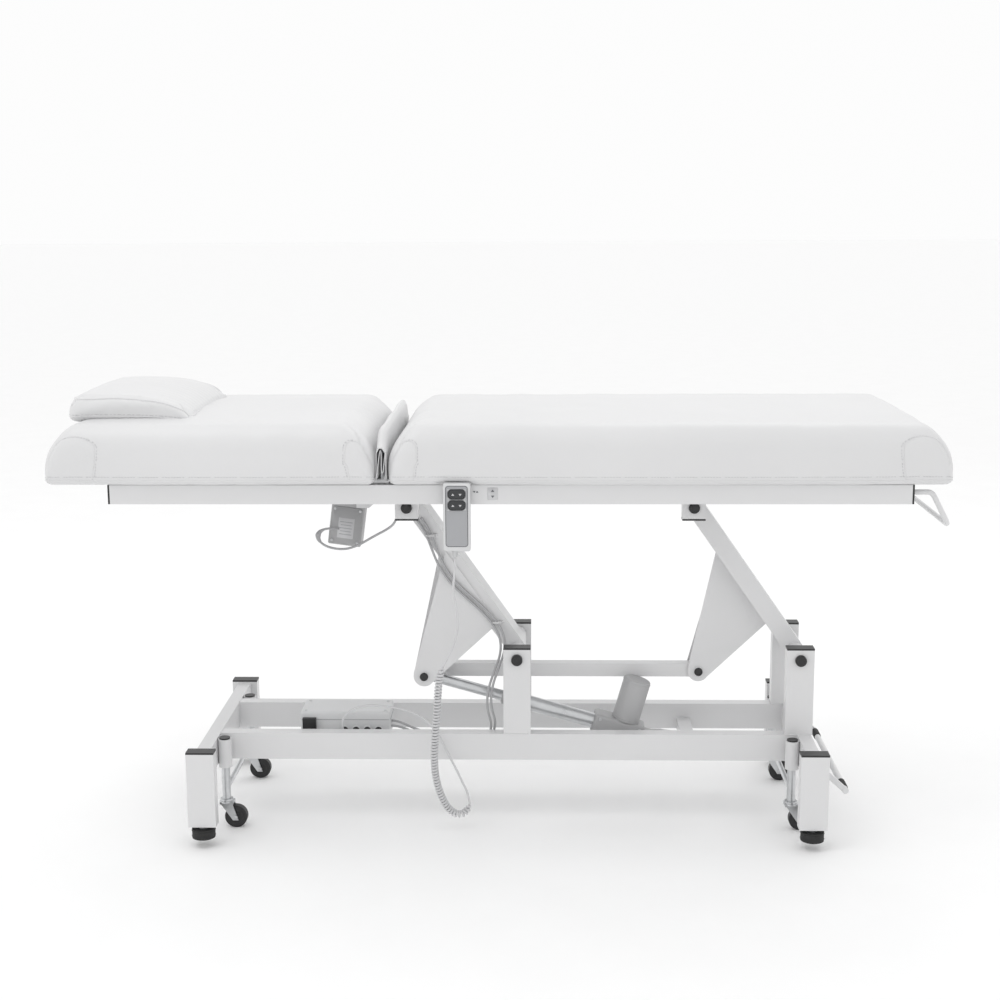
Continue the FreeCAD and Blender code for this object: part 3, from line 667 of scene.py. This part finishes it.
def swell(verts, faces, cap, floor):
    """Returns the swollen points and a function that moves other points with them."""
    scene = bpy.context.scene
    mesh = bpy.data.meshes.new("swelling")
    mesh.from_pydata([tuple(v) for v in verts], [], faces)
    obj = bpy.data.objects.new("swelling", mesh)
    scene.collection.objects.link(obj)
    cloth = obj.modifiers.new("cloth", "CLOTH")
    cloth.settings.quality = 3
    cloth.settings.use_pressure = True
    cloth.settings.uniform_pressure_force = 4.0
    cloth.settings.bending_stiffness = 0.8
    cloth.settings.effector_weights.gravity = 0.0
    cloth.collision_settings.use_collision = False
    cloth.point_cache.frame_end = CLOTH_FRAMES
    for step in range(1, CLOTH_FRAMES + 1):
        scene.frame_set(step)
    graph = bpy.context.evaluated_depsgraph_get()
    swollen = [v.co.copy() for v in obj.evaluated_get(graph).data.vertices]
    bpy.data.objects.remove(obj)
    scene.frame_set(1)
    tree = KDTree(len(verts))
    moves = []
    for i, (before, after) in enumerate(zip(verts, swollen)):
        tree.insert(before, i)
        move = after - before
        if move.length > cap:
            move = move.normalized() * cap
        if before.z + move.z < floor:
            move.z = floor - before.z
        moves.append(move)
    tree.balance()

    def follow(point):
        near = tree.find_n(point, 4)
        weights = [1 / (dist + 0.0005) for _, _, dist in near]
        shift = sum((moves[i] * w for (_, i, _), w in zip(near, weights)), Vector())
        return point + shift / sum(weights)

    return [a + b for a, b in zip(verts, moves)], follow


def round_plan(lo, hi, z, step=0.006):
    """Points round the box's outline at one height."""
    x0, y0 = lo[0], lo[1]
    x1, y1 = hi[0], hi[1]
    ring = []
    for ax, ay, bx, by in ((x0, y0, x1, y0), (x1, y0, x1, y1), (x1, y1, x0, y1), (x0, y1, x0, y0)):
        count = int(max(abs(bx - ax), abs(by - ay)) / step)
        for k in range(count):
            share = k / count
            ring.append(Vector((ax + (bx - ax) * share, ay + (by - ay) * share, z)))
    return ring


def stitch_shapes(line, spacing, size, radius):
    """Short threads lying along a line."""
    shapes = []
    travelled = 0.0
    wanted = spacing
    for a, b in zip(line, line[1:]):
        travelled += (b - a).length
        if travelled >= wanted:
            ahead = (b - a).normalized() * size / 2
            middle = (a + b) / 2
            shapes.append(tube_shape([middle - ahead, middle, middle + ahead], radius, 5))
            wanted += spacing
    return shapes


def corner_seam(lo, hi, end, y, reach):
    """Curved seam of a corner panel: up the side face, then over towards the end."""
    edge = lo[0] if end < 0 else hi[0]
    height = hi[2] - lo[2]
    path = []
    for s in range(41):
        share = s / 40
        if share < 0.55:
            x = edge - end * (reach + 0.006 * math.sin(share * 2.8))
            z = lo[2] + 0.012 + (height - 0.052) * share / 0.55
        else:
            turn = (share - 0.55) / 0.45 * math.pi / 2
            x = edge - end * (0.012 + (reach - 0.006) * math.cos(turn))
            z = hi[2] - 0.040 + 0.030 * math.sin(turn)
        path.append(Vector((x, y, z)))
    return path


def make_cushion(name, node, body, seams):
    """Cushion cover with its bottom hem, stitches and curved corner seams."""
    lo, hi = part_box(node)
    lo = Vector((lo[0], lo[1], COVER_BOTTOM))
    hi = Vector(hi)
    form = soft_box(lo, hi, COVER_ENDS, COVER_SIDES, COVER_CORNER)
    verts, faces = padded_shape(lo, hi, form, 0.010)
    verts, follow = swell(verts, faces, SWELL, lo[2])
    cover = piece(name, verts, faces, "white_vinyl", body)
    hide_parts(node)

    def skin(point):
        return follow(form(point))

    low_line = [skin(p) for p in round_plan(lo, hi, lo[2] + 0.0175)]
    threads = stitch_shapes(low_line + low_line[:1], STITCH_GAP, STITCH_LENGTH, THREAD_R)
    hem = [skin(p) for p in round_plan(lo, hi, lo[2] + 0.0095)]
    lines = [tube_shape(hem, 0.0012, 8, closed=True)]
    for end, reach in seams:
        for y in (lo[1], hi[1]):
            path = corner_seam(lo, hi, end, y, reach)
            lines.append(tube_shape([skin(p) for p in path], 0.0009, 8))
            beside = [skin(p - Vector((end * 0.0045, 0, 0))) for p in path]
            threads += stitch_shapes(beside, STITCH_GAP, STITCH_LENGTH, THREAD_R)
    piece_of(name + "_stitches", threads, "thread", body)
    piece_of(name + "_seams", lines, "white_vinyl", body)


def make_pillow():
    """Head pillow with a level top that falls to its thin end, and piped edges."""
    lo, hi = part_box("head_pillow")
    lo = Vector((lo[0], lo[1], lo[2] + 0.0005))
    hi = Vector((hi[0], hi[1], hi[2] - 0.008))
    form = soft_box(lo, hi, (0.010, 0.010), (0.010, 0.010), 0.026, crown=0.010, fall=0.84)
    verts, faces = padded_shape(lo, hi, form, 0.005)
    verts, follow = swell(verts, faces, SWELL, lo[2])

    def skin(point):
        return follow(form(point))

    pillow = piece("head_pillow_cover", verts, faces, "white_vinyl", "backrest")
    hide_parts("head_pillow")
    lines = []
    for z, radius in ((hi[2] - 0.003, 0.0021), (lo[2] + 0.010, 0.0012)):
        ring = [skin(p) for p in round_plan(lo, hi, z, 0.005)]
        lines.append(tube_shape(ring, radius, 10, closed=True))
    piece_of("head_pillow_piping", lines, "white_vinyl", "backrest")
    low_line = [skin(p) for p in round_plan(lo, hi, lo[2] + 0.014, 0.004)]
    threads = stitch_shapes(low_line + low_line[:1], STITCH_GAP, STITCH_LENGTH, 0.0006)
    piece_of("head_pillow_stitches", threads, "thread", "backrest")


def make_flap():
    """Folded vinyl strip that covers the gap and hinge between the two cushions."""
    seat_lo, seat_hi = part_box("seat_cushion")
    _, back_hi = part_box("backrest_cushion")
    left = back_hi[0] + 0.0006
    right = seat_lo[0] - 0.0006
    middle = (left + right) / 2
    rows = []
    count = 61
    for k in range(count):
        y = seat_lo[1] + FLAP_INSET + (seat_hi[1] - seat_lo[1] - 2 * FLAP_INSET) * k / (count - 1)
        edge = max(0.0, (abs(y) - 0.232) / 0.062)
        ridge = FLAP_RIDGE - 0.036 * edge * edge * (3 - 2 * edge)
        sway = 0.0012 * math.sin(y * 31)
        fold = [(left, FLAP_FOOT), (left + 0.0006, 0.84), (left + 0.001, ridge - 0.012),
                (middle - 0.004 + sway, ridge - 0.001), (middle + sway, ridge),
                (middle + 0.004 + sway, ridge - 0.001), (right - 0.001, ridge - 0.012),
                (right - 0.0006, 0.84), (right, FLAP_FOOT)]
        rows.append([(x, y, z) for x, z in fold])
    width = len(rows[0])
    faces = []
    for k in range(count - 1):
        for i in range(width - 1):
            a = k * width + i
            faces.append((a, a + width, a + width + 1, a + 1))
    flap = piece("gap_flap", [p for row in rows for p in row], faces, "white_vinyl", None)
    across = length_of([Vector(p) for p in rows[count // 2]])
    thicken(flap, FLAP_THICK)
    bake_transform(flap)
    tucks = []
    for y_end in (seat_lo[1] + 0.004, seat_hi[1] - 0.004):
        sign = 1 if y_end < 0 else -1
        line = [(left + 0.001, 0.812), (middle - 0.003, 0.868), (middle, 0.871),
                (middle + 0.002, 0.862), (middle + 0.001, 0.826), (middle + 0.004, 0.822),
                (right - 0.003, 0.862), (right - 0.001, 0.866)]
        smooth = smooth_line([(x, 0.0, z) for x, z in line], 8)
        grid = [[(p.x, y_end + sign * 0.009 * row, p.z - 0.001 * row) for p in smooth]
                for row in range(5)]
        size = len(smooth)
        cells = [(r * size + i, r * size + i + 1, (r + 1) * size + i + 1, (r + 1) * size + i)
                 for r in range(4) for i in range(size - 1)]
        tucks.append(([p for row in grid for p in row], cells))
    ends = piece_of("gap_flap_ends", tucks, "white_vinyl", None)
    thicken(ends, FLAP_THICK)
    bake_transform(ends)


def thicken(obj, depth):
    """Gives a sheet its thickness in the mesh itself."""
    sheet = bmesh.new()
    sheet.from_mesh(obj.data)
    bmesh.ops.recalc_face_normals(sheet, faces=sheet.faces[:])
    bmesh.ops.solidify(sheet, geom=sheet.faces[:], thickness=depth)
    sheet.to_mesh(obj.data)
    sheet.free()
    for polygon in obj.data.polygons:
        polygon.use_smooth = True


# ---------------------------------------------------------------- fittings
def make_bolt_domes():
    """Domed black caps on the pivot bolts."""
    shapes = {"base": [], "upper_frame": []}
    for node, body, radius in (("lower_pivot_bolts", "base", 0.0125),
                               ("upper_pivot_bolts", "upper_frame", 0.012)):
        lo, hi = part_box(node)
        z = (lo[2] + hi[2]) / 2
        for x in (lo[0] + radius, hi[0] - radius):
            for y, out in ((lo[1], -1), (hi[1], 1)):
                shapes[body].append(dome_shape((x, y, z), (0, out, 0), radius, 0.004))
                ring = circle((x, y + out * 0.0031, z), radius * 0.62, X_AXIS, Z_AXIS, 24)
                shapes[body].append(tube_shape(ring, 0.0006, 6, closed=True))
    for body, parts in shapes.items():
        piece_of("pivot_caps_" + body, parts, "black_plastic", body)


def make_gusset_caps():
    """Black caps on the gusset pins."""
    for end, body in (("left", "left_arm"), ("right", "right_arm")):
        lo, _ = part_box("gusset_" + end)
        verts, faces = lathe_shape((lo[0] + 0.024, lo[1], lo[2] + 0.024), -Y_AXIS,
                                   [(0.0095, -0.001), (0.0095, 0.002), (0.0078, 0.0036),
                                    (0.004, 0.0042)])
        piece("gusset_cap_" + end, verts, faces, "black_plastic", body)


def make_wheel_hubs():
    """Moulded hubs, axle ends and swivel races of the castors."""
    for end in ("left", "right"):
        for row in ("front", "rear"):
            tag = end + "_" + row
            lo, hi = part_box("castor_wheel_" + tag)
            mid = (Vector(lo) + Vector(hi)) / 2
            half = (hi[1] - lo[1]) / 2
            shapes = []
            for out in (-1, 1):
                shapes.append(lathe_shape((mid.x, mid.y + out * (half - 0.001), mid.z), (0, out, 0),
                                          [(0.0165, 0.0), (0.0160, 0.0012), (0.0125, 0.0006),
                                           (0.0070, 0.0007), (0.0062, 0.0019), (0.0034, 0.0019)]))
            piece_of("wheel_hub_" + tag, shapes, "black_plastic", "castor_wheel_" + tag)
            axle = []
            for out in (-1, 1):
                axle.append(lathe_shape((mid.x, mid.y + out * 0.0137, mid.z), (0, out, 0),
                                        [(0.0052, 0.0), (0.0052, 0.0022), (0.0038, 0.0034)], 12))
            fork_lo, fork_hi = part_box("castor_fork_" + tag)
            race = circle((fork_lo[0] + 0.014, mid.y, fork_hi[2] - 0.0012), 0.0145,
                          X_AXIS, Y_AXIS, 28)
            axle.append(tube_shape(race, 0.0022, 10, closed=True))
            piece_of("castor_hardware_" + tag, axle, "zinc_steel", "castor_fork_" + tag)


def make_foot_details():
    """Locknuts and ribs of the levelling feet."""
    lo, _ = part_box("levelling_feet")
    nuts = []
    ribs = []
    for x in (-0.6385, 0.6725):
        for y in (-0.265, 0.265):
            nuts.append(lathe_shape((x, y, lo[2] + 0.0202), (0, 0, 1),
                                    [(0.0105, 0.0), (0.0105, 0.0045), (0.009, 0.0052)], 6))
            for height in (0.004, 0.016):
                ring = circle((x, y, lo[2] + height), 0.025, X_AXIS, Y_AXIS, 32)
                ribs.append(tube_shape(ring, 0.0009, 6, closed=True))
    piece_of("foot_locknuts", nuts, "zinc_steel", "base", smooth=False)
    piece_of("foot_ribs", ribs, "black_rubber", "base")


def arrow_shape(centre, direction, size):
    """Small raised arrowhead that faces -Y."""
    x, y, z = centre
    tip = size * direction
    ring = [(x - size, z - tip * 0.6), (x + size, z - tip * 0.6), (x, z + tip * 0.8)]
    verts = [(a, y, b) for a, b in ring] + [(a, y - 0.0005, b) for a, b in ring]
    faces = [(0, 1, 4, 3), (1, 2, 5, 4), (2, 0, 3, 5), (3, 4, 5), (2, 1, 0)]
    return verts, faces


def make_handset_details():
    """Rim, panel, key domes, arrows and strain relief ribs of the hand control."""
    up_lo, up_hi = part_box("handset_key_upper")
    low_lo, low_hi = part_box("handset_key_lower")
    mid_x = (up_lo[0] + up_hi[0]) / 2
    top = up_hi[2] + 0.007
    mid_z = (top + PANEL_BOTTOM) / 2
    rim = [(mid_x + x, PANEL_FRONT, mid_z + z)
           for x, z in rounded_outline(PANEL_WIDTH, top - PANEL_BOTTOM, PANEL_CORNER, 6)]
    verts, faces = tube_shape(rim, 0.0008, 8, closed=True)
    piece("handset_rim", verts, faces, "panel_grey", "upper_frame")
    west = mid_x - PANEL_WIDTH / 2 + 0.0012
    east = mid_x + PANEL_WIDTH / 2 - 0.0012
    cells = [(west, east, PANEL_BOTTOM + 0.0012, low_lo[2] - KEY_GAP),
             (west, east, low_hi[2] + KEY_GAP, up_lo[2] - KEY_GAP),
             (west, east, up_hi[2] + KEY_GAP, top - 0.0012)]
    for k_lo, k_hi in ((up_lo, up_hi), (low_lo, low_hi)):
        cells.append((west, up_lo[0] - KEY_GAP, k_lo[2] - KEY_GAP, k_hi[2] + KEY_GAP))
        cells.append((up_hi[0] + KEY_GAP, east, k_lo[2] - KEY_GAP, k_hi[2] + KEY_GAP))
    plates = [plate_shape(((x0 + x1) / 2, PANEL_FRONT + 0.0002, (z0 + z1) / 2), X_AXIS, Z_AXIS,
                          x1 - x0, z1 - z0, 0.0006, 0.0002) for x0, x1, z0, z1 in cells]
    piece_of("handset_panel", plates, "print_grey", "upper_frame",
             smooth=False)
    for name, k_lo, k_hi in (("upper", up_lo, up_hi), ("lower", low_lo, low_hi)):
        z = (k_lo[2] + k_hi[2]) / 2
        dome = dome_shape((mid_x, k_lo[1], z), -Y_AXIS, 1.0, 0.0022, 6, 40)
        verts = [(mid_x + (v[0] - mid_x) * 0.0155, v[1], z + (v[2] - z) * 0.0085)
                 for v in dome[0]]
        piece("handset_dome_" + name, verts, dome[1], "dark_key", name + "_key")
        marks = [arrow_shape((mid_x + side * 0.0075, k_lo[1] - 0.0016, z), -side, 0.0030)
                 for side in (-1, 1)]
        piece_of("handset_arrows_" + name, marks, "white_cord", name + "_key",
                 smooth=False)
    rings = []
    for k in range(4):
        ring = circle((-0.086, -0.297, 0.6585 - 0.0032 * k), 0.0060 - 0.0004 * k,
                      X_AXIS, Y_AXIS, 20)
        rings.append(tube_shape(ring, 0.0008, 6, closed=True))
    piece_of("strain_relief_ribs", rings, "light_plastic", "upper_frame")


def screw_shape(centre, axis, radius):
    """Pan head with a raised rim."""
    return lathe_shape(centre, axis, [(radius, -0.0004), (radius, 0.0008), (radius * 0.8, 0.0016),
                                      (radius * 0.35, 0.0018), (radius * 0.3, 0.0009)], 20)


def make_backrest_motor_details():
    """Cover, blank label with plain bars, and screws of the backrest motor."""
    along = Vector((-math.cos(BACK_SLOPE), 0, math.sin(BACK_SLOPE)))
    down = Vector((-math.sin(BACK_SLOPE), 0, -math.cos(BACK_SLOPE)))
    middle = BACK_PIVOT + along * 0.031 + down * 0.060 - Y_AXIS * 0.030
    verts, faces = plate_shape(middle, -along, -down, 0.068, 0.084, 0.0022, 0.006)
    piece("backrest_motor_cover", verts, faces, "grey_plastic", "backrest_motor")
    front = middle - Y_AXIS * 0.0022
    verts, faces = plate_shape(front + down * 0.006, -along, -down, 0.036, 0.046, 0.0003, 0.001)
    piece("backrest_motor_label", verts, faces, "white_cord", "backrest_motor")
    bars = [plate_shape(front - Y_AXIS * 0.0003 + down * (0.006 + 0.007 * k), -along, -down,
                        0.028 - 0.004 * (k % 2), 0.0016, 0.0001, 0.0004) for k in range(-2, 3)]
    piece_of("backrest_motor_marks", bars, "print_grey", "backrest_motor")
    screws = [screw_shape(front + along * a + down * d, -Y_AXIS, 0.0032)
              for a in (-0.028, 0.028) for d in (-0.036, 0.036)]
    piece_of("backrest_motor_screws", screws, "zinc_steel", "backrest_motor")


def make_lift_motor_details():
    """Bands, gearbox screws and tube collar of the lift motor."""
    up = Vector((math.sin(LIFT_SLOPE), 0, math.cos(LIFT_SLOPE)))
    back = Vector((-math.cos(LIFT_SLOPE), 0, math.sin(LIFT_SLOPE)))
    foot = LIFT_PIVOT + back * 0.076 + up * 0.0245
    bands = []
    turns = [0.157 * t for t in range(40)]
    for rise in (0.004, 0.091):
        ring = [foot + up * rise + 0.0311 * (math.cos(t) * back + math.sin(t) * Y_AXIS)
                for t in turns]
        bands.append(tube_shape(ring, 0.0009, 8, closed=True))
    piece_of("lift_motor_bands", bands, "grey_plastic", "lift_motor")
    screws = [screw_shape(LIFT_PIVOT + back * (0.088 + a) - Y_AXIS * 0.028 + up * b, -Y_AXIS,
                          0.0035) for a in (-0.046, 0.046) for b in (-0.019, 0.015)]
    piece_of("lift_gearbox_screws", screws, "zinc_steel", "lift_motor")
    verts, faces = lathe_shape(LIFT_PIVOT + back * 0.3575, back,
                               [(0.0185, -0.012), (0.0185, 0.0), (0.0150, 0.003),
                                (0.0125, 0.004)], 32)
    piece("lift_tube_collar", verts, faces, "grey_plastic", "lift_motor")


def make_control_box_details():
    """Lid seam, screws and socket rings of the control box."""
    lo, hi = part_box("control_box")
    seam_z = hi[2] - 0.018
    ring = []
    for ax, ay, bx, by in ((lo[0], lo[1], hi[0], lo[1]), (hi[0], lo[1], hi[0], hi[1]),
                           (hi[0], hi[1], lo[0], hi[1]), (lo[0], hi[1], lo[0], lo[1])):
        ring.append((ax + math.copysign(0.004, bx - ax) if bx != ax else ax,
                     ay + math.copysign(0.004, by - ay) if by != ay else ay, seam_z))
        ring.append((bx - math.copysign(0.004, bx - ax) if bx != ax else bx,
                     by - math.copysign(0.004, by - ay) if by != ay else by, seam_z))
    verts, faces = tube_shape(ring, 0.0009, 6, closed=True)
    piece("control_box_seam", verts, faces, "print_grey", "base")
    screws = [screw_shape((x, y, hi[2]), (0, 0, 1), 0.0034)
              for x in (lo[0] + 0.012, hi[0] - 0.012) for y in (lo[1] + 0.012, hi[1] - 0.012)]
    piece_of("control_box_screws", screws, "zinc_steel", "base")
    jacks = [lathe_shape((-0.353 + 0.0255 * k, -0.0602, 0.194), -Y_AXIS,
                         [(0.0105, 0.0), (0.0105, 0.0035), (0.0085, 0.0045)], 28)
             for k in range(4)]
    piece_of("control_box_jacks", jacks, "light_plastic", "base")


def make_rail_labels():
    """Blank sticker and plain arrows beside the hand control."""
    y = -0.2801
    verts, faces = plate_shape((-0.008, y, 0.777), X_AXIS, Z_AXIS, 0.022, 0.026, 0.0002, 0.002)
    piece("rail_sticker", verts, faces, "white_cord", "upper_frame")
    marks = [arrow_shape((-0.008, y - 0.0002, 0.783), 1, 0.0035),
             arrow_shape((-0.008, y - 0.0002, 0.771), -1, 0.0035),
             arrow_shape((-0.040, y, 0.781), 1, 0.0028),
             arrow_shape((-0.046, y, 0.781), -1, 0.0028)]
    piece_of("rail_arrows", marks, "panel_grey", "upper_frame", smooth=False)


def make_pedal_grip():
    """Two black ribbed sleeves on the pedal's foot bar."""
    shapes = []
    for y0, y1 in ((-0.192, -0.150), (0.150, 0.192)):
        outline = [(0.0072, 0.0)]
        steps = 16
        for k in range(steps):
            bump = 0.0086 if k % 2 else 0.0079
            outline.append((bump, (k + 0.5) / steps * (y1 - y0)))
        outline.append((0.0072, y1 - y0))
        shapes.append(lathe_shape((0.752, y0, 0.108), (0, 1, 0), outline, 24))
    piece_of("pedal_grips", shapes, "black_rubber", "pedal")


def bead(points, radius=0.0016):
    """Uneven weld bead along points."""
    line = []
    points = [Vector(p) for p in points]
    for a, b in zip(points, points[1:]):
        count = max(2, int((b - a).length / 0.003))
        for k in range(count):
            p = a.lerp(b, k / count)
            line.append(p + Vector((noise.noise(p * 200), noise.noise(p * 230), 0)) * 0.0004)
    line.append(points[-1])
    return tube_shape(line, radius, 6)


def make_welds():
    """Painted weld beads where tubes meet."""
    shapes = []
    for x in (-0.6235, 0.6575):
        for y in (-0.126, -0.096, 0.096, 0.126):
            shapes.append(bead([(x, y, 0.149), (x, y, 0.205)]))
        for y in (-0.111, 0.111):
            shapes.append(bead([(x, y - 0.014, 0.207), (x, y + 0.014, 0.207)]))
    for x in (0.0382, 0.6604):
        for y in (-0.126, -0.096, 0.096, 0.126):
            shapes.append(bead([(x - 0.029, y, 0.207), (x + 0.025, y, 0.207)]))
    piece_of("weld_beads", shapes, "white_paint", "base")


# ---------------------------------------------------------------- the whole bed
make_camera()
make_handset_cord()
make_motor_cables()
make_studio()
finish_nodes()
make_cushion("seat_cover", "seat_cushion", "upper_frame", ((-1, 0.052), (1, 0.100)))
make_cushion("backrest_cover", "backrest_cushion", "backrest", ((-1, 0.104), (1, 0.052)))
make_pillow()
make_flap()
make_bolt_domes()
make_gusset_caps()
make_wheel_hubs()
make_foot_details()
make_handset_details()
make_backrest_motor_details()
make_lift_motor_details()
make_control_box_details()
make_rail_labels()
make_pedal_grip()
make_welds()
